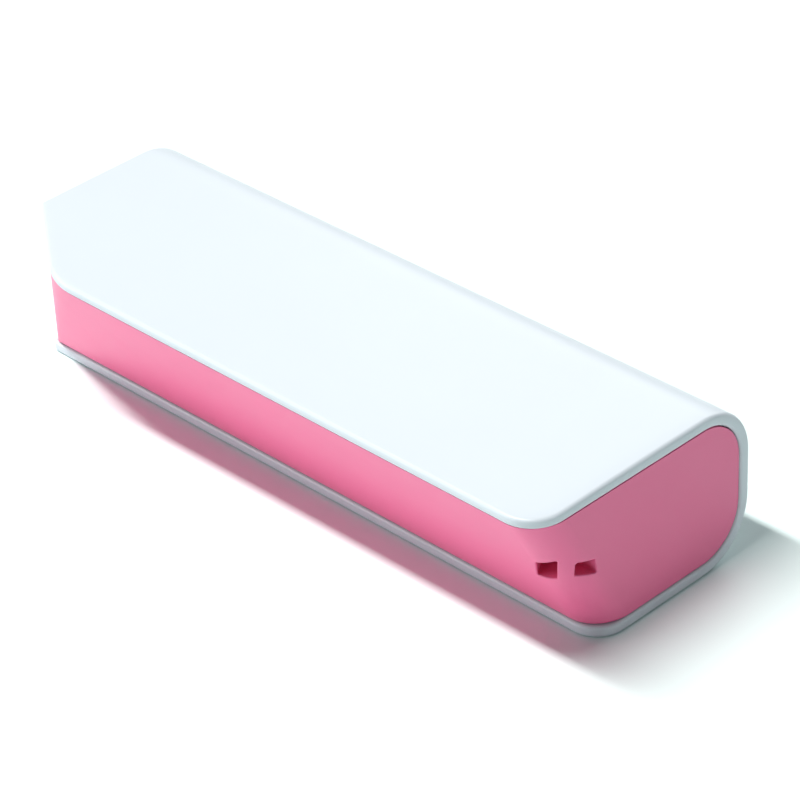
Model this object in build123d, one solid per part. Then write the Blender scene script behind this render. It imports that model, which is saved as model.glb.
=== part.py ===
"""Pocket power bank: a white C-shaped sleeve around a coloured core that holds one round cell.

Frame: millimetres, origin at the middle of the footprint, +Z up. The lanyard end is at +X, the socket
end at -X, the open, slanted front at -Y and the rounded back at +Y.
"""
from build123d import *
import math
import os

# Driving dimensions of the case
length = 96.6
width = 36.4
height = 22.0
wall = 1.6
back_radius = 8.0
crown = 0.3
front_run = 10.25

# Outline seen from above
corner_radius = 4.6
low_corner_radius = 4.0
far_low_radius = 1.0
cut_x, cut_y = 15.2, 11.1
cut_front_radius = 11.0
cut_end_radius = 0.8
back_corner_radius = 0.6

# Core tray
fit_gap = 0.15
core_recess = 0.2
core_set_back = 0.25
core_wall = 1.6
rail_thick = 1.2
rail_depth = 9.0
floor_thick = 1.0
floor_depth = 16.0
hook_places = (-12.0, 12.0, 32.0)
rib_places = (2.0, 30.0)

# Lanyard slots in the core's near front corner: middle of the mouth, direction it faces, size,
# how much its top and bottom rise across it and how much its sides lean
side_slot = {"middle": (44.95, -12.85, 12.0), "turn": 33.0, "wide": 2.5, "high": 3.5, "rise": 0.85, "lean": 0.3}
end_slot = {"middle": (47.8, -9.5, 11.8), "turn": 90.0, "wide": 2.75, "high": 2.05, "rise": -0.7, "lean": -0.3}
slot_corner = 0.22
slot_depth = 6.0
slot_edge = 0.15

# Cell
cell_radius = 9.2
cell_skin = 0.15
cell_y = 6.6
cell_z = height / 2
cell_near = 45.5
cell_length = 65.0
cap_radius = 3.6
cap_rise = 1.4
tab_thick = 0.2

# Circuit board and what it carries at the far end
board_x = (-46.3, -22.0)
board_y = (-7.0, 12.4)
board_z = (8.6, 9.8)
usb_y = 3.2
usb_size = (14.0, 13.2, 5.8)
usb_sheet = 0.3
micro_y = 6.6
micro_size = (5.4, 7.5, 2.7)
micro_sheet = 0.25
button_y, button_z = -3.6, 6.3
button_radius = 1.6
button_gap = 0.15
light_y = 0.5
light_radius = 0.75
screw_places = ((-26.0, -4.4), (-26.0, 10.2))
lead_radius = 0.6
red_y, black_y = 5.0, -5.3

# Places worked out from the dimensions above
front, back = -width / 2, width / 2
near, far = length / 2, -length / 2
core_low, core_high = wall + fit_gap, height - wall - fit_gap
end_face = far + core_recess
end_inside = end_face + core_wall
near_inside = near - core_recess - core_wall
lean = math.degrees(math.atan2(front_run, height - 2 * wall))
cell_far = cell_near - cell_length


def block(x, y, z):
    """A box from its low and high limits along each axis."""
    spans = [sorted(pair) for pair in (x, y, z)]
    size = [high - low for low, high in spans]
    middle = [(high + low) / 2 for low, high in spans]
    return Pos(*middle) * Box(*size)


def rod(radius, x, y, z):
    """A round bar along X between two x values."""
    low, high = sorted(x)
    return Pos((low + high) / 2, y, z) * Rot(0, 90, 0) * Cylinder(radius, high - low)


def post(radius, x, y, z):
    """A round bar along Z between two z values."""
    low, high = sorted(z)
    return Pos(x, y, (low + high) / 2) * Cylinder(radius, high - low)


def plan_face(inset=0.0):
    """The case seen from above: straight ends, rounded front corners and a cut far front corner."""
    corners = [(near, front), (far + cut_x, front), (far, front + cut_y), (far, back), (near, back)]
    radii = [corner_radius, cut_front_radius, cut_end_radius, back_corner_radius, back_corner_radius]
    with BuildSketch() as sketch:
        with BuildLine():
            FilletPolyline(*corners, radius=radii, close=True)
        make_face()
        if inset:
            offset(amount=-inset, mode=Mode.REPLACE)
    return sketch.sketch


def upright(face, low=-1.0, high=height + 1.0):
    """Raise a plan face into a straight-sided block."""
    return Pos(0, 0, low) * extrude(face, amount=high - low)


def along_x(face):
    """Carry a side-view face along the whole length, with some to spare."""
    return extrude(face, amount=length, both=True)


def c_profile():
    """Side view of the sleeve: crowned top, rounded back, flat bottom, open front."""
    r_out, r_in = back_radius, back_radius - wall
    y_turn = back - r_out
    low_front = front + front_run
    with BuildSketch(Plane.YZ) as sketch:
        with BuildLine():
            ThreePointArc((front, height - crown), ((front + y_turn) / 2, height - crown / 4), (y_turn, height))
            RadiusArc((y_turn, height), (back, height - r_out), r_out)
            Line((back, height - r_out), (back, r_out))
            RadiusArc((back, r_out), (y_turn, 0), r_out)
            Polyline((y_turn, 0), (low_front, 0), (low_front, wall), (y_turn, wall))
            RadiusArc((y_turn, wall), (back - wall, wall + r_in), -r_in)
            Line((back - wall, wall + r_in), (back - wall, height - wall - r_in))
            RadiusArc((back - wall, height - wall - r_in), (y_turn, height - wall), -r_in)
            Polyline((y_turn, height - wall), (front, height - wall), (front, height - crown))
        make_face()
    return sketch.sketch


def slant_y(z):
    """Where the sleeve's front opening plane lies at a height."""
    return front + front_run * (height - wall - z) / (height - 2 * wall)


def core_profile(set_back, low, high, y_back):
    """Side view of the core: slanted front, rounded back corners."""
    points = [(slant_y(high) + set_back, high), (slant_y(low) + set_back, low), (y_back, low), (y_back, high)]
    with BuildSketch(Plane.YZ) as sketch:
        with BuildLine():
            Polyline(*points, close=True)
        make_face()
    return sketch.sketch


def core_plan(z, far_radius):
    """The core's level outline at a height: sharp near front corner, rounded cut at the far one."""
    run = math.hypot(cut_x, cut_y)
    x_near, x_far = near - core_recess, far + core_recess
    y_front, y_back = slant_y(z) + core_set_back, back - wall - fit_gap
    x_cut = far + cut_x * (1 - (y_front - front) / cut_y) + core_recess * run / cut_y
    y_cut = front + cut_y + core_recess * (run - cut_y) / cut_x
    with BuildSketch(Plane.XY.offset(z)) as sketch:
        with BuildLine():
            Polyline((x_near, y_front), (x_cut, y_front), (x_far, y_cut), (x_far, y_back), (x_near, y_back), close=True)
        make_face()
        fillet(sketch.vertices().sort_by_distance((x_cut, y_front, z))[0], far_radius)
        fillet(sketch.vertices().sort_by_distance((x_far, y_cut, z))[0], cut_end_radius)
    return sketch.sketch


def core_solid():
    """The core's outer shape as one lump: slanted front, rounded back edges and front corners."""
    lump = loft([core_plan(core_low, far_low_radius), core_plan(core_high, cut_front_radius)], ruled=True)
    rear = lump.edges().filter_by(Axis.X).group_by(Axis.Y)[-1]
    lump = fillet(rear, back_radius - wall - fit_gap)
    leaning = [e for e in lump.edges() if (e @ 0).X > near - 1 and abs((e @ 0).Z - (e @ 1).Z) > height / 2
               and abs((e @ 0).Y - (e @ 1).Y) > front_run / 2]
    return fillet(leaning, corner_radius - core_recess)


def sleeve():
    """White C-shaped outer shell, open at the front and at both ends."""
    shell = along_x(c_profile()) & upright(plan_face())
    low_corners = [e for e in shell.edges().filter_by(Axis.Z)
                   if abs(e.length - wall) < 0.01 and (e @ 0).Z < height / 2 and (e @ 0).Y < 0]
    low_corners = sorted(low_corners, key=lambda e: (e @ 0).Y)[:2]
    far_edge, near_edge = sorted(low_corners, key=lambda e: (e @ 0).X)
    shell = fillet(near_edge, low_corner_radius)
    far_edge = shell.edges().filter_by(Axis.Z).sort_by_distance(far_edge @ 0.5)[0]
    shell = fillet(far_edge, far_low_radius)
    for x in hook_places:
        shell -= block((x - 3.2, x + 3.2), (front + 5.0, front + 6.6), (height - wall - 0.1, height - wall + 0.65))
        shell -= block((x - 3.2, x + 3.2), (front + 12.8, front + 14.4), (wall - 0.65, wall + 0.1))
    return shell


def slot_cutter(slot):
    """A straight bar with rounded corners and a leaning four-sided section, square to its mouth."""
    turn = math.radians(slot["turn"])
    mouth = Plane(slot["middle"], x_dir=(math.cos(turn), math.sin(turn), 0), z_dir=(math.sin(turn), -math.cos(turn), 0))
    corners = []
    for across, up in ((-0.5, -0.5), (0.5, -0.5), (0.5, 0.5), (-0.5, 0.5)):
        corners.append((across * slot["wide"] + up * slot["lean"], up * slot["high"] + across * slot["rise"]))
    with BuildSketch(mouth) as sketch:
        with BuildLine():
            FilletPolyline(*corners, radius=slot_corner, close=True)
        make_face()
    return extrude(sketch.sketch, amount=-slot_depth) + extrude(sketch.sketch, amount=slot_depth / 2)


def lanyard_cuts():
    """Two slots that meet behind the corner post."""
    return slot_cutter(side_slot) + slot_cutter(end_slot)


def soften_mouths(tray, outer):
    """Round the edges where the lanyard slots break through the core's outer skin."""
    skin = outer.shell()
    rims = []
    for edge in tray.edges():
        middle = edge @ 0.5
        if middle.X > 40 and middle.Y < -6 and 9 < middle.Z < 15 and skin.distance_to(Vertex(*middle)) < 0.01:
            rims.append(edge)
    return fillet(rims, slot_edge)


def hooks():
    """Snap bumps on the core's rails, which sit in the sleeve's pockets."""
    bumps = Part()
    for x in hook_places:
        bumps += block((x - 3.0, x + 3.0), (front + 5.2, front + 6.4), (core_high, core_high + 0.5))
        bumps += block((x - 3.0, x + 3.0), (front + 13.0, front + 14.2), (core_low - 0.5, core_low))
    return bumps


def end_openings():
    """Holes in the far end wall for the two sockets, the button and the light."""
    through = (far - 1, end_inside + 1)
    usb_low = board_z[1]
    cuts = block(through, (usb_y - usb_size[1] / 2 - 0.12, usb_y + usb_size[1] / 2 + 0.12),
                 (usb_low - 0.12, usb_low + usb_size[2] + 0.12))
    cuts += block(through, (micro_y - micro_size[1] / 2 - 0.12, micro_y + micro_size[1] / 2 + 0.12),
                  (board_z[0] - micro_size[2] - 0.12, board_z[0] + 0.12))
    cuts += rod(button_radius + button_gap, through, button_y, button_z)
    cuts += rod(light_radius + 0.05, through, light_y, button_z)
    return cuts


def core_tray():
    """Coloured core: slanted front wall, two end walls, rails, cell ribs, bosses and the lanyard post."""
    outer = core_solid()
    slant_wall = core_wall / math.cos(math.radians(lean))
    hollow = along_x(core_profile(core_set_back + slant_wall, -1.0, height + 1.0, 2 * back))
    inner_plan = upright(plan_face(core_recess + core_wall)) + block((-43, near_inside), (0, 2 * back), (-1, height + 1))
    hollow = hollow & inner_plan & block((-length, near_inside), (2 * front, 2 * back), (-1, height + 1))
    inside = outer & hollow
    tray = outer - hollow
    tray += inside & block((far, near), (front, front + rail_depth), (core_high - rail_thick, core_high))
    tray += inside & block((far, near), (front, front + floor_depth), (core_low, core_low + floor_thick))
    tray += inside & block((far, -20.4), (front, 14.0), (core_low, core_low + floor_thick))
    cell_room = rod(cell_radius + 0.05, (far, near), cell_y, cell_z)
    for x in rib_places:
        tray += (inside & block((x - 0.8, x + 0.8), (front, 1.5), (core_low, 16.4))) - cell_room
    tray += inside & block((near - 8.5, near), (front, -6.9), (8.0, 17.0))
    for x, y in screw_places:
        tray += post(2.1, x, y, (core_low + 0.5, board_z[0]))
        tray -= post(0.8, x, y, (core_low + 1.5, board_z[0] + 1))
    tray = tray + hooks() - end_openings()
    tray -= lanyard_cuts()
    return soften_mouths(tray, outer)


def cell_can():
    """Steel can of the round cell."""
    can = rod(cell_radius - cell_skin, (cell_far + cap_rise + 0.1, cell_near - cell_skin), cell_y, cell_z)
    return fillet(can.edges().filter_by(GeomType.CIRCLE), 0.6)


def cell_wrap():
    """Shrink wrap: a thin tube with a narrow lip over each end of the can."""
    low, high = cell_far + cap_rise - 0.05, cell_near
    wrap = rod(cell_radius, (low, high), cell_y, cell_z)
    return wrap - rod(cell_radius - 1.6, (low - 1, high + 1), cell_y, cell_z) \
        - rod(cell_radius - cell_skin, (low + cell_skin, high - cell_skin), cell_y, cell_z)


def cell_positive_cap():
    """Raised contact at the cell's far end."""
    cap = rod(cap_radius, (cell_far, cell_far + cap_rise + 0.1), cell_y, cell_z)
    return chamfer(cap.faces().sort_by(Axis.X)[0].edges(), 0.4)


def cell_seal_ring():
    """Insulating ring round the raised contact."""
    x = (cell_far + cap_rise - 0.25, cell_far + cap_rise + 0.1)
    return rod(cell_radius - 1.7, x, cell_y, cell_z) - rod(cap_radius + 0.1, (x[0] - 1, x[1] + 1), cell_y, cell_z)


def positive_tab():
    """Nickel strip on the raised contact, standing up to where the red lead joins it."""
    return block((cell_far - tab_thick, cell_far), (cell_y - 2.5, cell_y + 2.5), (cell_z - 2.5, 17.6))


def negative_tab():
    """Nickel strip across the cell's flat end, reaching forward to the black lead."""
    return block((cell_near, cell_near + tab_thick), (-6.4, cell_y + 3.5), (cell_z - 2.0, cell_z + 2.0))


def cell_pads():
    """Foam pads: two behind the cell and one between its flat end and the end wall."""
    pads = Part()
    for x in (-8.0, 34.0):
        pads += block((x - 5, x + 5), (12.0, back - wall), (back_radius, height - back_radius))
    pads -= rod(cell_radius, (far, near), cell_y, cell_z)
    return pads + block((cell_near + tab_thick, near_inside), (1.0, 12.0), (cell_z - 5, cell_z + 5))


def insulating_card():
    """Thin fibre card between the raised contact and the circuit board."""
    card = block((-20.9, -20.6), (-3.0, 12.5), (core_low + 1.0, 15.4))
    return fillet(card.edges().filter_by(Axis.X), 1.0)


def circuit_board():
    """Glass-fibre board, with its two far corners clipped and two screw holes."""
    board = block(board_x, board_y, board_z)
    board = chamfer(board.edges().filter_by(Axis.Z).group_by(Axis.X)[0], 2.0)
    for x, y in screw_places:
        board -= post(0.9, x, y, (board_z[0] - 1, board_z[1] + 1))
    return board


def usb_a_shell():
    """Folded steel shell of the output socket."""
    deep, wide, high = usb_size
    x = (end_face + 0.1, end_face + 0.1 + deep)
    y = (usb_y - wide / 2, usb_y + wide / 2)
    z = (board_z[1], board_z[1] + high)
    shell = block(x, y, z)
    shell = fillet(shell.edges().filter_by(Axis.X), 0.5)
    return shell - block((x[0] - 1, x[1] - usb_sheet), (y[0] + usb_sheet, y[1] - usb_sheet),
                         (z[0] + usb_sheet, z[1] - usb_sheet))


def usb_a_tongue():
    """Plastic tongue of the output socket and the block that carries it."""
    x_back = end_face + 0.1 + usb_size[0] - usb_sheet
    z_low = board_z[1] + usb_sheet
    z_high = board_z[1] + usb_size[2] - usb_sheet
    half = usb_size[1] / 2 - usb_sheet
    base = block((x_back - 3.0, x_back), (usb_y - half, usb_y + half), (z_low, z_high))
    plate = block((end_face + 1.6, x_back - 3.0), (usb_y - 5.55, usb_y + 5.55), (z_high - 2.5, z_high - 0.66))
    return base + plate


def usb_a_contacts():
    """Four sprung contacts under the tongue."""
    z = board_z[1] + usb_size[2] - usb_sheet - 2.5
    strips = Part()
    for y in (-3.5, -1.0, 1.0, 3.5):
        strips += block((end_face + 2.6, end_face + 10.8), (usb_y + y - 0.5, usb_y + y + 0.5), (z - 0.2, z))
    return strips


def micro_usb_shell():
    """Folded steel shell of the charging socket, with its two lower corners bevelled."""
    deep, wide, high = micro_size
    x = (end_face + 0.1, end_face + 0.1 + deep)

    def outline(inset):
        half, low, top = wide / 2 - inset, board_z[0] - high + inset, board_z[0] - inset
        points = [(-half, top), (half, top), (half, low + 1.0), (half - 0.9, low), (0.9 - half, low), (-half, low + 1.0)]
        with BuildSketch(Plane.YZ) as sketch:
            with BuildLine():
                Polyline(*[(micro_y + y, z) for y, z in points], close=True)
            make_face()
        return sketch.sketch
    shell = Pos(x[0], 0, 0) * extrude(outline(0.0), amount=deep)
    return shell - Pos(x[0] - 1, 0, 0) * extrude(outline(micro_sheet), amount=deep + 1 - micro_sheet)


def micro_usb_tongue():
    """Plastic tongue of the charging socket."""
    x_back = end_face + 0.1 + micro_size[0] - micro_sheet
    top = board_z[0] - micro_sheet
    base = block((x_back - 1.2, x_back), (micro_y - 2.6, micro_y + 2.6), (top - 2.1, top))
    return base + block((end_face + 1.0, x_back - 1.2), (micro_y - 1.85, micro_y + 1.85), (top - 1.25, top - 0.6))


def micro_usb_contacts():
    """Five contacts on the lower side of the charging socket's tongue."""
    z = board_z[0] - micro_sheet - 1.25
    strips = Part()
    for step in range(-2, 3):
        y = micro_y + 0.65 * step
        strips += block((end_face + 1.3, end_face + 4.0), (y - 0.2, y + 0.2), (z - 0.12, z))
    return strips


def inductor_drum():
    """Ferrite bobbin of the converter's coil."""
    x, y, low = -29.6, 6.0, board_z[1]
    return post(2.9, x, y, (low, low + 0.9)) + post(1.6, x, y, (low, low + 4.4)) \
        + post(2.9, x, y, (low + 3.5, low + 4.4))


def inductor_winding():
    """Copper turns round the bobbin, as one ring."""
    x, y, low = -29.6, 6.0, board_z[1]
    return post(2.7, x, y, (low + 0.9, low + 3.5)) - post(1.6, x, y, (low, low + 5))


def controller_chip():
    """Moulded body of the converter's control chip."""
    chip = block((-31.6, -27.7), (-2.4, 2.5), (board_z[1] + 0.15, board_z[1] + 1.65))
    return chamfer(chip.faces().sort_by(Axis.Z)[-1].edges(), 0.2)


def controller_legs():
    """Eight tinned legs, four on each long side of the chip."""
    legs = Part()
    for x, side in ((-31.6, -1), (-27.7, 1)):
        for step in range(4):
            y = -1.855 + 1.27 * step
            out = x + side * 0.6
            legs += block((x, out), (y - 0.2, y + 0.2), (board_z[1] + 0.7, board_z[1] + 0.9))
            legs += block((out, out + side * 0.2), (y - 0.2, y + 0.2), (board_z[1], board_z[1] + 0.9))
            legs += block((out + side * 0.2, out + side * 0.7), (y - 0.2, y + 0.2), (board_z[1], board_z[1] + 0.2))
    return legs


def protection_chips():
    """The cell's protection chip and its double switch, under the board."""
    chips = block((-33.0, -30.0), (6.0, 7.7), (board_z[0] - 1.1, board_z[0]))
    return chips + block((-33.4, -30.4), (0.5, 4.9), (board_z[0] - 1.0, board_z[0]))


def capacitors():
    """Ceramic capacitors on both sides of the board."""
    places = ((-33.0, -5.4), (-24.0, -1.6), (-24.0, 0.2), (-33.0, 10.4), (-30.8, 10.4))
    chips = Part()
    for x, y in places:
        chips += block((x - 0.6, x + 0.6), (y - 0.8, y + 0.8), (board_z[1], board_z[1] + 0.9))
    return chips


def resistors():
    """Flat chip resistors on both sides of the board."""
    chips = Part()
    for x, y in ((-24.4, 3.1), (-26.0, 3.1), (-28.6, 10.4), (-28.0, -5.8)):
        chips += block((x - 0.5, x + 0.5), (y - 0.8, y + 0.8), (board_z[1], board_z[1] + 0.5))
    for x, y in ((-36.0, 3.2), (-36.0, 7.2), (-38.5, -1.0)):
        chips += block((x - 0.5, x + 0.5), (y - 0.8, y + 0.8), (board_z[0] - 0.5, board_z[0]))
    return chips


def status_light():
    """Small surface-mount lamp under the board."""
    return block((-44.8, -43.9), (light_y - 0.8, light_y + 0.8), (board_z[0] - 0.8, board_z[0]))


def light_pipe():
    """Clear rod that carries the lamp's light to the end wall."""
    pipe = rod(light_radius, (end_face + 0.02, -46.2), light_y, button_z)
    return pipe + block((-46.2, -44.9), (light_y - 0.9, light_y + 0.9), (button_z - 0.9, board_z[0] - 0.05))


def switch_case():
    """Case of the side-press switch under the board, with a bore for its plunger."""
    case = block((-45.0, -41.4), (button_y - 2.2, button_y + 2.2), (board_z[0] - 3.6, board_z[0]))
    return case - rod(0.9, (-46, -44.0), button_y, button_z)


def switch_plunger():
    """Plunger that the button pushes."""
    return rod(0.75, (-45.9, -44.5), button_y, button_z)


def button_cap():
    """Round button with a flange that keeps it behind the end wall."""
    cap = rod(button_radius, (far + 0.02, -46.4), button_y, button_z)
    cap = fillet(cap.faces().sort_by(Axis.X)[0].edges(), 0.3)
    return cap + rod(button_radius + 0.5, (-46.4, -45.9), button_y, button_z)


def board_screws():
    """Two pan-head screws through the board into the bosses."""
    screws = Part()
    for x, y in screw_places:
        head = fillet(post(1.6, x, y, (board_z[1], board_z[1] + 1.0)).faces().sort_by(Axis.Z)[-1].edges(), 0.4)
        head -= block((x - 1.0, x + 1.0), (y - 0.2, y + 0.2), (board_z[1] + 0.5, board_z[1] + 2))
        head -= block((x - 0.2, x + 0.2), (y - 1.0, y + 1.0), (board_z[1] + 0.5, board_z[1] + 2))
        screws += head + post(0.78, x, y, (board_z[1] - 5.0, board_z[1]))
    return screws


def lead(points, bend):
    """A round insulated wire along straight runs joined by arcs."""
    path = FilletPolyline(*points, radius=bend)
    start = Plane(origin=path @ 0, z_dir=path % 0)
    return sweep(start * Circle(lead_radius), path=path)


def red_lead():
    """Wire from the positive strip over the card down to the board."""
    points = [(cell_far - tab_thick - 0.1, red_y, 16.6), (-23.4, red_y, 16.6), (-24.2, red_y, board_z[1] + 0.3)]
    return lead(points, 1.8)


def black_lead():
    """Wire from the negative strip along the cell, above the ribs, and down to the board."""
    points = [(cell_near - 0.1, black_y, cell_z), (41.0, black_y, cell_z), (38.0, black_y, 17.4)]
    points += [(-19.0, black_y, 17.4), (-23.3, black_y, board_z[1] + 0.3)]
    return lead(points, 1.8)


def solder_joints():
    """Solder where each lead meets the board and its strip."""
    red, black = red_lead(), black_lead()
    joints = Part()
    for x, y, wire in ((-24.2, red_y, red), (-23.3, black_y, black)):
        ball = Pos(x, y, board_z[1]) * Sphere(0.95)
        joints += (ball & block((x - 2, x + 2), (y - 2, y + 2), (board_z[1], board_z[1] + 2))) - wire
    plus_x = cell_far - tab_thick
    plus = Pos(plus_x, red_y, 16.6) * Sphere(0.95)
    joints += (plus & block((plus_x - 2, plus_x), (red_y - 2, red_y + 2), (15, 19))) - red
    minus = Pos(cell_near, black_y, cell_z) * Sphere(1.0)
    joints += (minus & block((cell_near - 2, cell_near), (black_y - 2, black_y + 2), (8, 14))) - black
    return joints


def main():
    os.makedirs("parts", exist_ok=True)
    makers = [sleeve, core_tray, cell_can, cell_wrap, cell_positive_cap, cell_seal_ring, positive_tab,
              negative_tab, cell_pads, insulating_card, circuit_board, usb_a_shell, usb_a_tongue,
              usb_a_contacts, micro_usb_shell, micro_usb_tongue, micro_usb_contacts, inductor_drum,
              inductor_winding, controller_chip, controller_legs, protection_chips, capacitors, resistors,
              status_light, light_pipe, switch_case, switch_plunger, button_cap, board_screws, red_lead,
              black_lead, solder_joints]
    for maker in makers:
        export_step(maker(), f"parts/{maker.__name__}.step")


main()
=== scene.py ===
"""Pocket power bank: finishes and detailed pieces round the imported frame.

Metres, in the frame's own axes: lanyard end at +X, sockets at -X, slanted front at -Y, +Z up.
"""
import math

import bpy
import numpy as np
from mathutils import Matrix, Vector


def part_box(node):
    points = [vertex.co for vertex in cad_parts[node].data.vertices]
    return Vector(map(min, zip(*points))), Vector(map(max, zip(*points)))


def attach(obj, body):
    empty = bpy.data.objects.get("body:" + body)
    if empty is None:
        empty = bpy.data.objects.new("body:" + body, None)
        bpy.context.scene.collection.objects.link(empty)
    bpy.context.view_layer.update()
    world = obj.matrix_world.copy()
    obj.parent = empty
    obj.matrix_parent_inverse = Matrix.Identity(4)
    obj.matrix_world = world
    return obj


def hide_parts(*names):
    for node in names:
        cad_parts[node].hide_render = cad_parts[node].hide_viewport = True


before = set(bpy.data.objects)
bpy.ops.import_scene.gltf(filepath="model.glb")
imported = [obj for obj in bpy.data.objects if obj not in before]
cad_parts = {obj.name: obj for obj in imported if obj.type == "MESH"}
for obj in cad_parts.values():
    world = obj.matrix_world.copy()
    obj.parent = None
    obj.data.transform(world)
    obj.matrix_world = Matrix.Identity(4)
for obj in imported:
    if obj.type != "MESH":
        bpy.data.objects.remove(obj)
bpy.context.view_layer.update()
MM = 0.001

# Case dimensions
WALL = 1.6 * MM
BACK_RADIUS = 8.0 * MM
CROWN = 0.3 * MM
FRONT_RUN = 10.25 * MM
CORNER = 4.6 * MM
LOW_CORNER = 4.0 * MM
FAR_LOW_CORNER = 1.0 * MM
CUT_X, CUT_Y = 15.2 * MM, 11.1 * MM
CUT_FRONT, CUT_END = 11.0 * MM, 0.8 * MM
OUTER_EDGE = 0.5 * MM
INNER_EDGE = 0.45 * MM

# Fineness of the sleeve's mesh
COLUMNS = 49
RIM_STEPS = 7

# Small pieces
WIRE_GAUGE = 0.13 * MM
STEPS_A_TURN = 28
PAD_HALF = 5 * MM
PAD_PLACES = (-8 * MM, 34 * MM)
PAD_MARGIN = 8 * MM
END_PAD_FRONT, END_PAD_BACK = 1.0 * MM, 12 * MM

# Camera
AIM = Vector((33.0, -22.8, 34.3)) * MM
AZIMUTH, ELEVATION, ROLL = 46.5, 32.97, -2.85
DISTANCE = 366.4 * MM
LENS = 152.0

sleeve_low, sleeve_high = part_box("sleeve")
FAR, NEAR = sleeve_low.x, sleeve_high.x
FRONT, BACK = sleeve_low.y, sleeve_high.y
TOP = sleeve_high.z


# ---------------------------------------------------------------- meshes

def mesh_piece(name, points, faces, material, body="housing"):
    """A mesh object at the origin from an array of points and a list of faces, smooth shaded."""
    mesh = bpy.data.meshes.new(name)
    mesh.from_pydata(np.asarray(points, float).tolist(), [], [list(map(int, f)) for f in faces])
    mesh.validate()
    mesh.polygons.foreach_set("use_smooth", np.ones(len(mesh.polygons), bool))
    mesh.materials.append(material)
    mesh.update()
    piece = bpy.data.objects.new(name, mesh)
    bpy.context.scene.collection.objects.link(piece)
    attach(piece, body)
    return piece


def grid_faces(rows, columns, start=0, flip=False):
    """Quads of a rows by columns grid of points, numbered row by row from start."""
    i, j = np.meshgrid(np.arange(rows - 1), np.arange(columns - 1), indexing="ij")
    a = start + (i * columns + j).ravel()
    quads = np.stack([a, a + 1, a + columns + 1, a + columns], 1)
    return quads[:, ::-1] if flip else quads


def ring_faces(rings, flip=False):
    """Quads between closed rings, each given as an array of point numbers."""
    quads = []
    for here, there in zip(rings[:-1], rings[1:]):
        quads.append(np.stack([here, np.roll(here, -1), np.roll(there, -1), there], 1))
    quads = np.concatenate(quads)
    return quads[:, ::-1] if flip else quads


# ---------------------------------------------------------------- sleeve

STRAIGHT_TOP = BACK - BACK_RADIUS - FRONT
QUARTER = math.pi / 2 * BACK_RADIUS
UPRIGHT = TOP - 2 * BACK_RADIUS
STRAIGHT_LOW = STRAIGHT_TOP - FRONT_RUN
ROUND_LENGTH = STRAIGHT_TOP + 2 * QUARTER + UPRIGHT + STRAIGHT_LOW


def wrap_round(s, inset):
    """Y and Z at a distance s along the C section, from the top's front edge to the bottom's.

    The section is a crowned straight, a quarter circle, an upright, a quarter circle and a straight;
    inset moves it inwards by a share of the wall, and the crown fades out with it."""
    radius = BACK_RADIUS - inset
    y_turn, z_high = BACK - BACK_RADIUS, TOP - BACK_RADIUS
    first = np.clip((s - STRAIGHT_TOP) / QUARTER, 0, 1) * math.pi / 2
    second = np.clip((s - STRAIGHT_TOP - QUARTER - UPRIGHT) / QUARTER, 0, 1) * math.pi / 2
    drop = np.clip(s - STRAIGHT_TOP - QUARTER, 0, UPRIGHT)
    y = y_turn - np.clip(STRAIGHT_TOP - s, 0, None) + radius * np.sin(first)
    z = z_high + radius * np.cos(first) - drop
    low_start = STRAIGHT_TOP + 2 * QUARTER + UPRIGHT
    y = y - radius * (1 - np.cos(second)) - np.clip(s - low_start, 0, None)
    z = z - radius * np.sin(second)
    crown = CROWN * np.clip(1 - s / STRAIGHT_TOP, 0, 1) ** 2 * (1 - inset / WALL)
    return y, z - crown


def corner_edge(left, radius, d):
    """How far the edge of a square corner of that radius draws in, at a distance left from the side."""
    left = np.clip(radius - left, 0, radius - d)
    return radius - np.sqrt((radius - d) ** 2 - left ** 2)


def far_edge(s, d):
    """How far the far edge lies from the far end at s, for an outline moved in by d.

    A wide arc at the front edge, then the straight cut, then a small arc, then the end itself."""
    run = math.hypot(CUT_X, CUT_Y)
    nx, ns = -CUT_Y / run, -CUT_X / run
    first_x = CUT_X - (CUT_FRONT + ns * CUT_FRONT) / nx
    second_s = CUT_Y - (CUT_END + nx * CUT_END) / ns
    first_touch = CUT_FRONT + ns * (CUT_FRONT - d)
    second_touch = second_s + ns * (CUT_END - d)
    arc = first_x - np.sqrt(np.clip((CUT_FRONT - d) ** 2 - (CUT_FRONT - s) ** 2, 0, None))
    cut = CUT_X - (d + ns * s) / nx
    small = CUT_END - np.sqrt(np.clip((CUT_END - d) ** 2 - (second_s - s) ** 2, 0, None))
    end = np.where(s < second_s, small, d)
    edge = np.where(s < first_touch, arc, np.where(s < second_touch, cut, end))
    return np.maximum(edge, corner_edge(ROUND_LENGTH - s, FAR_LOW_CORNER, d))


def near_edge(s, d):
    """How far the near edge lies from the near end at s, for an outline moved in by d."""
    return np.maximum(corner_edge(s, CORNER, d), corner_edge(ROUND_LENGTH - s, LOW_CORNER, d))


def sleeve_rows():
    """Distances along the section, close together where the outline or the section bends."""
    turn = 1 - np.cos(np.linspace(0, math.pi / 2, 15))
    spans = [CORNER * turn, np.linspace(CORNER, CUT_Y + 1.5 * MM, 28), np.linspace(CUT_Y, STRAIGHT_TOP, 7)]
    spans += [STRAIGHT_TOP + np.linspace(0, QUARTER, 21)]
    spans += [STRAIGHT_TOP + QUARTER + UPRIGHT + np.linspace(0, QUARTER, 21)]
    spans += [ROUND_LENGTH - np.linspace(LOW_CORNER, STRAIGHT_LOW, 6)]
    spans += [ROUND_LENGTH - LOW_CORNER * turn, ROUND_LENGTH - FAR_LOW_CORNER * turn[::2]]
    rows = np.unique(np.round(np.concatenate(spans), 7))
    return rows[np.concatenate([[True], np.diff(rows) > 0.00002])]


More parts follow.
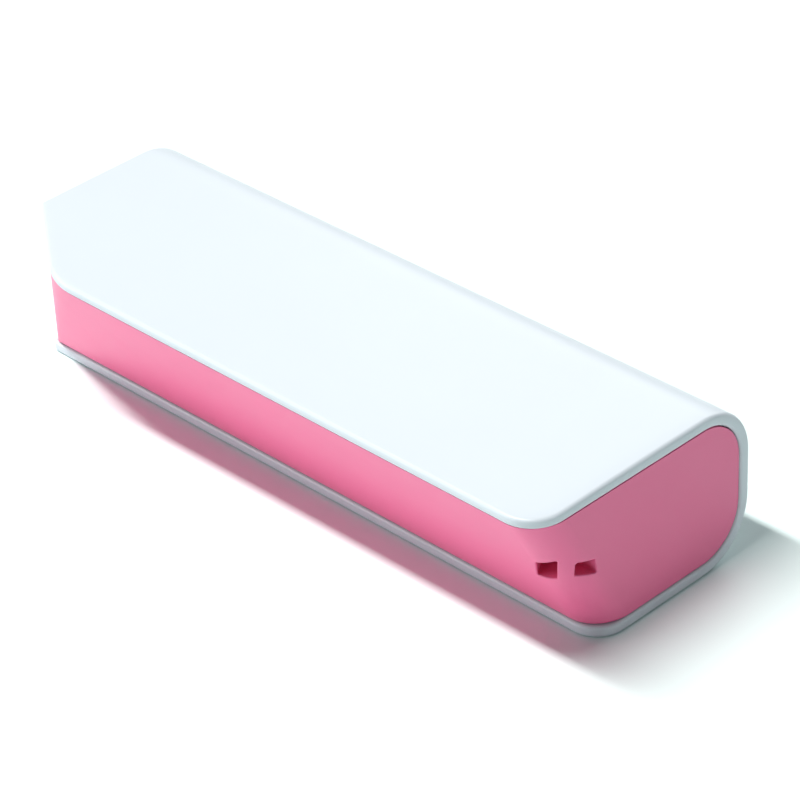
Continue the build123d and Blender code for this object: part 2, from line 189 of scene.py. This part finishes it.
def sleeve_shell(material):
    """The C-shaped sleeve as a plate bent round the core: outer skin, inner skin and a rounded rim.

    Each level is the plate's outline moved in by d at a depth in the wall, and the rim's levels follow
    a quarter circle from the outer skin and a smaller one to the inner skin."""
    rows = sleeve_rows()
    across = np.linspace(0, 1, COLUMNS)

    def level(d, depth):
        s = d + rows * (ROUND_LENGTH - 2 * d) / ROUND_LENGTH
        x_far, x_near = FAR + far_edge(s, d), NEAR - near_edge(s, d)
        x = x_far[:, None] + (x_near - x_far)[:, None] * across[None, :]
        y, z = wrap_round(s, depth)
        return np.stack([x, np.repeat(y[:, None], len(across), 1), np.repeat(z[:, None], len(across), 1)], 2)

    steps = np.linspace(0, math.pi / 2, RIM_STEPS)
    levels = [level(OUTER_EDGE * (1 - math.sin(a)), OUTER_EDGE * (1 - math.cos(a))) for a in steps]
    levels += [level(INNER_EDGE * (1 - math.cos(a)), WALL - INNER_EDGE * (1 - math.sin(a))) for a in steps]
    rows_n, columns_n = levels[0].shape[:2]
    numbers = np.arange(rows_n * columns_n).reshape(rows_n, columns_n)
    loop = np.concatenate([numbers[0, :-1], numbers[:-1, -1], numbers[-1, :0:-1], numbers[:0:-1, 0]])
    points = [levels[0].reshape(-1, 3), levels[-1].reshape(-1, 3)]
    count = rows_n * columns_n
    rings = [loop]
    for number, middle in enumerate(levels[1:-1]):
        points.append(middle.reshape(-1, 3)[loop])
        rings.append(2 * count + number * len(loop) + np.arange(len(loop)))
    rings.append(count + loop)
    faces = [grid_faces(rows_n, columns_n), grid_faces(rows_n, columns_n, count, flip=True)]
    faces.append(ring_faces(rings, flip=True))
    return mesh_piece("sleeve_shell", np.concatenate(points), np.concatenate(faces), material)


# ---------------------------------------------------------------- small pieces

def turned(name, profile, y, z, material, body="housing", around=64):
    """A piece turned about a line along X: rings of the (radius, x) profile, closed at both poles.

    The profile starts and ends on the axis, and each other point of it becomes one ring."""
    radius, x = np.array(profile).T
    angle = np.linspace(0, 2 * math.pi, around, endpoint=False)
    rings = np.stack([np.repeat(x[1:-1, None], around, 1),
                      y + radius[1:-1, None] * np.cos(angle), z + radius[1:-1, None] * np.sin(angle)], 2)
    points = np.concatenate([rings.reshape(-1, 3), [[x[0], y, z]], [[x[-1], y, z]]])
    count = len(x) - 2
    numbers = np.arange(count * around).reshape(count, around)
    first, last = count * around, count * around + 1
    faces = ring_faces(list(numbers)).tolist()
    faces += [[first, a, b] for a, b in zip(np.roll(numbers[0], -1), numbers[0])]
    faces += [[last, b, a] for a, b in zip(np.roll(numbers[-1], -1), numbers[-1])]
    return mesh_piece(name, points, faces, material, body)


def wire(path, radius, sides=10):
    """Points and faces of a round wire along a path, with both ends closed by a rounded tip.

    Each ring lies across the path's direction, and the last two rings at each end shrink to a point."""
    path = np.asarray(path)
    along = np.gradient(path, axis=0)
    along /= np.linalg.norm(along, axis=1)[:, None]
    side = np.cross(along, [0, 0, 1.0])
    side /= np.linalg.norm(side, axis=1)[:, None]
    up = np.cross(side, along)
    size = np.full(len(path), radius)
    size[[0, -1]] = radius * 0.6
    angle = np.linspace(0, 2 * math.pi, sides, endpoint=False)
    ring = side[:, None] * np.cos(angle)[None, :, None] + up[:, None] * np.sin(angle)[None, :, None]
    points = path[:, None] + size[:, None, None] * ring
    tips = [path[0] - along[0] * radius * 0.4, path[-1] + along[-1] * radius * 0.4]
    numbers = np.arange(len(path) * sides).reshape(len(path), sides)
    faces = ring_faces(list(numbers), flip=True).tolist()
    first, last = numbers.size, numbers.size + 1
    faces += [[first, b, a] for a, b in zip(np.roll(numbers[0], -1), numbers[0])]
    faces += [[last, a, b] for a, b in zip(np.roll(numbers[-1], -1), numbers[-1])]
    return np.concatenate([points.reshape(-1, 3), tips]), faces


def winding(material):
    """Enamelled wire wound round the bobbin: a helix that fills the height between its cheeks."""
    low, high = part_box("inductor_winding")
    middle = (low + high) / 2
    gauge = WIRE_GAUGE
    turns = (high.z - low.z - 2 * gauge) / (2 * gauge)
    t = np.linspace(0, turns, int(turns * STEPS_A_TURN))
    reach = (high.x - low.x) / 2 - gauge
    path = np.stack([middle.x + reach * np.cos(2 * math.pi * t), middle.y + reach * np.sin(2 * math.pi * t),
                     low.z + gauge + 2 * gauge * t], 1)
    points, faces = wire(path, gauge * 0.98)
    return mesh_piece("winding_turns", points, faces, material)


def soft_block(x, z, front_y, back_y, start):
    """Points and faces of a block with pillowed corners whose front follows front_y(z).

    A superellipsoid gives shares across, up and through the block, and those shares are spread
    between its limits; both poles are closed."""
    bend, around, up = 0.28, 48, 25
    u = np.linspace(0, 2 * math.pi, around, endpoint=False)
    v = np.linspace(-math.pi / 2, math.pi / 2, up)[1:-1]

    def shaped(value):
        return np.sign(value) * np.abs(value) ** bend

    across = shaped(np.cos(v))[:, None] * shaped(np.cos(u))[None, :]
    through = shaped(np.cos(v))[:, None] * shaped(np.sin(u))[None, :]
    rise = np.repeat(shaped(np.sin(v))[:, None], around, 1)
    shares = np.concatenate([np.stack([across, through, rise], 2).reshape(-1, 3), [[0, 0, -1], [0, 0, 1]]])
    points = np.empty_like(shares)
    points[:, 0] = x[0] + (shares[:, 0] + 1) / 2 * (x[1] - x[0])
    points[:, 2] = z[0] + (shares[:, 2] + 1) / 2 * (z[1] - z[0])
    near_y = front_y(points[:, 2])
    points[:, 1] = near_y + (shares[:, 1] + 1) / 2 * (back_y - near_y)
    numbers = start + np.arange((up - 2) * around).reshape(up - 2, around)
    first, last = start + numbers.size, start + numbers.size + 1
    faces = ring_faces(list(numbers)).tolist()
    faces += [[first, b, a] for a, b in zip(numbers[0], np.roll(numbers[0], -1))]
    faces += [[last, a, b] for a, b in zip(numbers[-1], np.roll(numbers[-1], -1))]
    return points, faces


def foam_pads(material):
    """Three foam pads: two behind the cell, hollowed to its round back, and one at its flat end."""
    cell_low, cell_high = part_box("cell_wrap")
    middle_y, middle_z = (cell_low.y + cell_high.y) / 2, (cell_low.z + cell_high.z) / 2
    reach = (cell_high.z - cell_low.z) / 2 + 0.03 * MM

    def round_back(z):
        return middle_y + np.sqrt(reach ** 2 - (z - middle_z) ** 2)

    def flat(z):
        return np.full_like(z, END_PAD_FRONT)

    low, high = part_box("cell_pads")
    points, faces = [], []
    tall = (PAD_MARGIN, TOP - PAD_MARGIN)
    pads = [((x - PAD_HALF, x + PAD_HALF), tall, round_back, high.y) for x in PAD_PLACES]
    end_span = (cell_high.x + 0.25 * MM, high.x)
    pads.append((end_span, (middle_z - PAD_HALF, middle_z + PAD_HALF), flat, END_PAD_BACK))
    for x, z, front_y, back_y in pads:
        more, sides = soft_block(x, z, front_y, back_y, sum(len(p) for p in points))
        points.append(more)
        faces += sides
    return mesh_piece("foam_pads", np.concatenate(points), faces, material)


def button_face(material):
    """The press button: a dished face with a soft rim, a short side and the flange behind the wall."""
    low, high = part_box("button_cap")
    flange = (high.y - low.y) / 2
    radius = flange - 0.5 * MM
    step = high.x - 0.5 * MM
    rim, dish = 0.3 * MM, 0.14 * MM
    inner = radius - rim
    r = np.linspace(0, inner, 9)
    profile = list(zip(r, low.x + dish * (1 - (r / inner) ** 2)))
    turn = np.linspace(0, math.pi / 2, 8)[1:]
    profile += [(inner + rim * math.sin(a), low.x + rim * (1 - math.cos(a))) for a in turn]
    soft = 0.06 * MM
    profile += [(radius, step - soft), (radius + soft, step), (flange - soft, step), (flange, step + soft)]
    profile += [(flange, high.x - soft), (flange - soft, high.x), (0, high.x)]
    return turned("button_face", profile, (low.y + high.y) / 2, (low.z + high.z) / 2, material, "button")


# ---------------------------------------------------------------- materials

def new_group(name, inputs):
    """An empty effect group: float inputs (name, value), and Mask, Gloss and Height put out."""
    group = bpy.data.node_groups.new(name, "ShaderNodeTree")
    for label, value in inputs:
        socket = group.interface.new_socket(label, in_out="INPUT", socket_type="NodeSocketFloat")
        socket.default_value = value
    for label in ("Mask", "Gloss", "Height"):
        group.interface.new_socket(label, in_out="OUTPUT", socket_type="NodeSocketFloat")
    return group, group.nodes.new("NodeGroupInput"), group.nodes.new("NodeGroupOutput")


def sum_node(group, operation, first, second, third=None):
    """A Math node in a group, whose inputs are sockets or numbers; gives its output socket."""
    node = group.nodes.new("ShaderNodeMath")
    node.operation = operation
    for index, value in enumerate((first, second, third)):
        if isinstance(value, (int, float)):
            node.inputs[index].default_value = value
        elif value is not None:
            group.links.new(value, node.inputs[index])
    return node.outputs[0]


def noise_node(group, vector, scale, detail=2.0, distortion=0.0):
    """A Noise Texture in a group, read at a vector, with its scale from a socket or number."""
    node = group.nodes.new("ShaderNodeTexNoise")
    node.inputs["Detail"].default_value = detail
    node.inputs["Distortion"].default_value = distortion
    group.links.new(vector, node.inputs["Vector"])
    if isinstance(scale, (int, float)):
        node.inputs["Scale"].default_value = scale
    else:
        group.links.new(scale, node.inputs["Scale"])
    return node.outputs["Fac"]


def put_out(group, outputs, mask, gloss, height):
    """Join an effect group's three results to its outputs."""
    for label, socket in (("Mask", mask), ("Gloss", gloss), ("Height", height)):
        group.links.new(socket, outputs.inputs[label])


def moulded_effect():
    """Moulded plastic: slow flow clouds as Mask, fine grain as Height, and handling smudges in Gloss."""
    settings = (("Grain", 7000.0), ("Flow", 45.0), ("Smudge", 0.06))
    group, inputs, outputs = new_group("moulded_effect", settings)
    place = group.nodes.new("ShaderNodeTexCoord").outputs["Object"]
    grain = noise_node(group, place, inputs.outputs["Grain"])
    flow = noise_node(group, place, inputs.outputs["Flow"], 3.0, 0.4)
    smudge = noise_node(group, place, sum_node(group, "MULTIPLY", inputs.outputs["Flow"], 4.0), 6.0, 0.8)
    gloss = sum_node(group, "MULTIPLY", sum_node(group, "SUBTRACT", smudge, 0.5), inputs.outputs["Smudge"])
    put_out(group, outputs, flow, gloss, sum_node(group, "MULTIPLY_ADD", flow, 0.3, grain))
    return group


def drawn_effect():
    """Drawn or rolled metal: noise pulled out along X as streaks, with broad dull patches in Gloss."""
    settings = (("Streak", 4000.0), ("Patch", 150.0), ("Dulling", 0.12))
    group, inputs, outputs = new_group("drawn_effect", settings)
    place = group.nodes.new("ShaderNodeTexCoord").outputs["Object"]
    pull = group.nodes.new("ShaderNodeMapping")
    pull.inputs["Scale"].default_value = (0.05, 1.0, 1.0)
    group.links.new(place, pull.inputs["Vector"])
    streak = noise_node(group, pull.outputs["Vector"], inputs.outputs["Streak"], 4.0)
    patch = noise_node(group, place, inputs.outputs["Patch"], 3.0)
    uneven = sum_node(group, "MULTIPLY_ADD", streak, 0.6, sum_node(group, "SUBTRACT", patch, 0.8))
    put_out(group, outputs, patch, sum_node(group, "MULTIPLY", uneven, inputs.outputs["Dulling"]), streak)
    return group


def speckle_effect():
    """Grainy stuff: cells of a Voronoi as Height, thinned by noise into a Mask of scattered specks."""
    settings = (("Cells", 2500.0), ("Amount", 0.5), ("Dulling", 0.1))
    group, inputs, outputs = new_group("speckle_effect", settings)
    place = group.nodes.new("ShaderNodeTexCoord").outputs["Object"]
    cells = group.nodes.new("ShaderNodeTexVoronoi")
    group.links.new(place, cells.inputs["Vector"])
    group.links.new(inputs.outputs["Cells"], cells.inputs["Scale"])
    clouds = noise_node(group, place, sum_node(group, "MULTIPLY", inputs.outputs["Cells"], 0.2), 4.0)
    near_cell = sum_node(group, "SUBTRACT", inputs.outputs["Amount"], cells.outputs["Distance"])
    inside = sum_node(group, "MAXIMUM", near_cell, 0.0)
    mask = sum_node(group, "MULTIPLY", inside, sum_node(group, "MULTIPLY", clouds, 2.5))
    gloss = sum_node(group, "MULTIPLY", sum_node(group, "SUBTRACT", clouds, 0.5), inputs.outputs["Dulling"])
    put_out(group, outputs, mask, gloss, cells.outputs["Distance"])
    return group


def board_effect():
    """Circuit board: square-cornered areas of copper under the mask, with lanes cut between them.

    The lanes are where the gap between the nearest two cells of a blocky Voronoi is small."""
    settings = (("Areas", 420.0), ("Lane", 0.07), ("Weave", 6000.0))
    group, inputs, outputs = new_group("board_effect", settings)
    place = group.nodes.new("ShaderNodeTexCoord").outputs["Object"]
    flat = group.nodes.new("ShaderNodeMapping")
    flat.inputs["Scale"].default_value = (1.0, 1.0, 0.0)
    group.links.new(place, flat.inputs["Vector"])
    found = []
    for feature in ("F1", "F2"):
        cells = group.nodes.new("ShaderNodeTexVoronoi")
        cells.distance, cells.feature = "CHEBYCHEV", feature
        group.links.new(flat.outputs["Vector"], cells.inputs["Vector"])
        group.links.new(inputs.outputs["Areas"], cells.inputs["Scale"])
        found.append(cells.outputs["Distance"])
    gap = sum_node(group, "SUBTRACT", found[1], found[0])
    copper = sum_node(group, "GREATER_THAN", gap, inputs.outputs["Lane"])
    weave = noise_node(group, place, inputs.outputs["Weave"])
    gloss = sum_node(group, "MULTIPLY", sum_node(group, "SUBTRACT", weave, 0.5), 0.15)
    put_out(group, outputs, copper, gloss, sum_node(group, "MULTIPLY_ADD", weave, 0.1, copper))
    return group


EFFECTS = {
    "moulded": moulded_effect(), "drawn": drawn_effect(),
    "speckle": speckle_effect(), "board": board_effect(),
}


def finish(name, effect, settings, colour, second, roughness, bump, **sockets):
    """A material whose effect group mixes two colours, shifts the roughness and raises a bump of bump mm."""
    material = bpy.data.materials.new(name)
    material.use_nodes = True
    nodes, links = material.node_tree.nodes, material.node_tree.links
    shader = nodes["Principled BSDF"]
    for label, value in sockets.items():
        shader.inputs[label.replace("_", " ")].default_value = value
    placed = nodes.new("ShaderNodeGroup")
    placed.node_tree = EFFECTS[effect]
    for label, value in settings.items():
        placed.inputs[label].default_value = value
    tint = nodes.new("ShaderNodeMix")
    tint.data_type = "RGBA"
    tint.inputs["A"].default_value = (*colour, 1)
    tint.inputs["B"].default_value = (*second, 1)
    links.new(placed.outputs["Mask"], tint.inputs["Factor"])
    links.new(tint.outputs["Result"], shader.inputs["Base Color"])
    rough = nodes.new("ShaderNodeMath")
    rough.operation = "ADD"
    rough.use_clamp = True
    rough.inputs[1].default_value = roughness
    links.new(placed.outputs["Gloss"], rough.inputs[0])
    links.new(rough.outputs[0], shader.inputs["Roughness"])
    relief = nodes.new("ShaderNodeBump")
    relief.inputs["Distance"].default_value = bump * MM
    links.new(placed.outputs["Height"], relief.inputs["Height"])
    links.new(relief.outputs["Normal"], shader.inputs["Normal"])
    return material


def plastic(name, colour, second, roughness, bump=0.004, **sockets):
    """Moulded plastic or rubber."""
    return finish(name, "moulded", {}, colour, second, roughness, bump, **sockets)


def metal(name, colour, second, roughness, bump=0.003, **settings):
    """Drawn or rolled metal, whose settings go to its effect group."""
    return finish(name, "drawn", settings, colour, second, roughness, bump, Metallic=1.0)


def grainy(name, cells, colour, second, roughness, bump, **sockets):
    """Foam, fibre, ferrite, ceramic or epoxy, with cells to the metre."""
    return finish(name, "speckle", {"Cells": cells}, colour, second, roughness, bump, **sockets)


white = plastic("sleeve_white", (0.64, 0.70, 0.75), (0.66, 0.73, 0.78), 0.36, 0.003)
button_white = plastic("button_white", (0.64, 0.70, 0.75), (0.66, 0.73, 0.78), 0.30, 0.002)
pink = plastic("core_pink", (0.88, 0.155, 0.330), (0.91, 0.170, 0.350), 0.42, 0.006)
can = metal("can_steel", (0.55, 0.55, 0.53), (0.62, 0.62, 0.60), 0.24)
film = plastic("wrap_film", (0.015, 0.15, 0.33), (0.02, 0.17, 0.37), 0.22, 0.01)
nickel = metal("tab_nickel", (0.52, 0.50, 0.45), (0.60, 0.58, 0.53), 0.34, 0.004)
shell_steel = metal("shell_steel", (0.55, 0.56, 0.57), (0.63, 0.64, 0.65), 0.26)
gold = metal("contact_gold", (0.75, 0.48, 0.15), (0.80, 0.55, 0.20), 0.22, 0.001)
tin = metal("leg_tin", (0.55, 0.56, 0.57), (0.66, 0.67, 0.68), 0.36, 0.002, Streak=1500.0)
solder = metal("solder", (0.60, 0.61, 0.62), (0.70, 0.71, 0.72), 0.18, 0.012, Streak=900.0)
screw = metal("screw_steel", (0.50, 0.51, 0.53), (0.60, 0.61, 0.63), 0.28, 0.004, Streak=2500.0)
copper = metal("copper_wire", (0.60, 0.20, 0.07), (0.72, 0.28, 0.10), 0.25, 0.002, Streak=1500.0)
copper.node_tree.nodes["Principled BSDF"].inputs["Coat Weight"].default_value = 0.8
foam = grainy("pad_foam", 3500.0, (0.012, 0.012, 0.014), (0.035, 0.035, 0.04), 0.85, 0.08)
fibre = grainy("seal_fibre", 5000.0, (0.62, 0.62, 0.55), (0.50, 0.50, 0.43), 0.72, 0.01)
card = grainy("card_fibre", 3000.0, (0.045, 0.115, 0.07), (0.07, 0.15, 0.10), 0.62, 0.01)
ferrite = grainy("ferrite", 6000.0, (0.012, 0.012, 0.013), (0.05, 0.05, 0.055), 0.48, 0.012)
ceramic = grainy("ceramic_tan", 5000.0, (0.32, 0.18, 0.08), (0.38, 0.23, 0.12), 0.42, 0.006)
resistor = grainy("resistor_black", 5000.0, (0.006, 0.006, 0.007), (0.02, 0.02, 0.022), 0.30, 0.004)
epoxy = grainy("chip_black", 8000.0, (0.004, 0.004, 0.0045), (0.02, 0.02, 0.02), 0.50, 0.010)
laminate = finish("board_laminate", "board", {}, (0.004, 0.035, 0.014), (0.006, 0.07, 0.028), 0.26, 0.03,
                  Coat_Weight=0.3)
nylon_white = plastic("tongue_plastic", (0.72, 0.72, 0.68), (0.76, 0.76, 0.72), 0.50)
nylon_black = plastic("tongue_black", (0.006, 0.006, 0.007), (0.012, 0.012, 0.013), 0.45)
acetal = plastic("plunger_white", (0.66, 0.66, 0.62), (0.70, 0.70, 0.66), 0.42)
resin = plastic("lamp_resin", (0.78, 0.74, 0.58), (0.82, 0.78, 0.62), 0.12, 0.001, Coat_Weight=0.6)
acrylic = plastic("pipe_clear", (0.94, 0.95, 0.97), (0.96, 0.97, 0.99), 0.08, 0.001,
                  IOR=1.49, Transmission_Weight=0.9)
red_rubber = plastic("lead_red", (0.50, 0.006, 0.006), (0.55, 0.01, 0.01), 0.48, 0.01)
black_rubber = plastic("lead_black", (0.005, 0.005, 0.005), (0.012, 0.012, 0.012), 0.50, 0.01)

NODE_FINISH = {
    "core_tray": pink, "cell_can": can, "cell_wrap": film, "cell_positive_cap": can, "cell_seal_ring": fibre,
    "positive_tab": nickel, "negative_tab": nickel, "cell_pads": foam, "insulating_card": card,
    "circuit_board": laminate, "usb_a_shell": shell_steel, "usb_a_tongue": nylon_white,
    "usb_a_contacts": gold, "micro_usb_shell": shell_steel, "micro_usb_tongue": nylon_black,
    "micro_usb_contacts": gold, "inductor_drum": ferrite, "inductor_winding": copper,
    "controller_chip": epoxy, "controller_legs": tin, "protection_chips": epoxy, "capacitors": ceramic,
    "resistors": resistor, "status_light": resin, "light_pipe": acrylic, "switch_case": nylon_black,
    "switch_plunger": acetal, "button_cap": button_white, "board_screws": screw, "red_lead": red_rubber,
    "black_lead": black_rubber, "solder_joints": solder, "sleeve": white,
}
for node, material in NODE_FINISH.items():
    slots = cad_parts[node].data.materials
    if not len(slots):
        slots.append(material)
    for index in range(len(slots)):
        slots[index] = material


# ---------------------------------------------------------------- pieces in place

pieces = (
    (sleeve_shell(white), "sleeve", "sleeve_white"),
    (winding(copper), "inductor_winding", "copper_wire"),
    (foam_pads(foam), "cell_pads", "pad_foam"),
    (button_face(button_white), "button_cap", "button_white"),
)
for piece, node, slot in pieces:
    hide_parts(node)


# ---------------------------------------------------------------- stage

def soft_light(name, place, target, size, power, colour=(1, 1, 1)):
    """An area light at place, turned to target: size[0] along X and size[1] across it."""
    data = bpy.data.lights.new(name, "AREA")
    data.shape, data.size, data.size_y = "RECTANGLE", *size
    data.energy, data.color = power, colour
    lamp = bpy.data.objects.new(name, data)
    bpy.context.scene.collection.objects.link(lamp)
    back = (Vector(place) - Vector(target)).normalized()
    across = (Vector((1, 0, 0)) - back * back.x).normalized()
    axes = Matrix((across, back.cross(across), back)).transposed()
    lamp.matrix_world = Matrix.Translation(place) @ axes.to_4x4()


def studio_floor():
    """A wide pale floor, as one flat grid."""
    half, cells = 3.0, 5
    line = np.linspace(-half, half, cells)
    x, y = np.meshgrid(line, line, indexing="ij")
    points = np.stack([x.ravel(), y.ravel(), np.zeros(x.size)], 1)
    mesh = bpy.data.meshes.new("studio_floor")
    mesh.from_pydata(points.tolist(), [], grid_faces(cells, cells, flip=True).tolist())
    mesh.materials.append(plastic("pale_floor", (0.81, 0.94, 0.92), (0.82, 0.95, 0.93), 0.7, 0.001))
    floor = bpy.data.objects.new("studio_floor", mesh)
    bpy.context.scene.collection.objects.link(floor)


def surroundings():
    """An even pale sky for fill and soft reflections."""
    world = bpy.data.worlds.new("studio")
    world.use_nodes = True
    background = world.node_tree.nodes["Background"]
    background.inputs["Color"].default_value = (0.95, 0.97, 1.0, 1)
    background.inputs["Strength"].default_value = 0.2
    bpy.context.scene.world = world


def studio_camera():
    """The camera, DISTANCE from AIM, rolled about its own line of sight."""
    a, e = math.radians(AZIMUTH), math.radians(ELEVATION)
    back = Vector((math.sin(a) * math.cos(e), -math.cos(a) * math.cos(e), math.sin(e)))
    data = bpy.data.cameras.new("camera")
    data.sensor_width, data.lens = 36.0, LENS
    data.clip_start, data.clip_end = 0.01, 20.0
    camera = bpy.data.objects.new("camera", data)
    bpy.context.scene.collection.objects.link(camera)
    right = Vector((0, 0, 1)).cross(back).normalized()
    up = back.cross(right)
    turn = Matrix.Rotation(math.radians(ROLL), 3, back)
    axes = Matrix((turn @ right, turn @ up, back)).transposed()
    camera.matrix_world = Matrix.Translation(AIM + back * DISTANCE) @ axes.to_4x4()
    bpy.context.scene.camera = camera


studio_floor()
surroundings()
soft_light("key", (-0.18, -0.25, 0.84), (0, 0, 0), (0.55, 0.06), 9.0, (1.0, 0.99, 0.98))
soft_light("front_fill", (-1.05, -0.85, 0.12), (0, 0, 0.01), (0.9, 0.16), 6.0, (0.98, 0.99, 1.0))
soft_light("back_glow", (-0.35, 0.85, 0.50), (0, 0, 0.01), (0.9, 0.5), 3.0, (0.97, 0.99, 1.0))
scene = bpy.context.scene
scene.view_settings.view_transform = "Standard"
scene.view_settings.look = "None"
studio_camera()
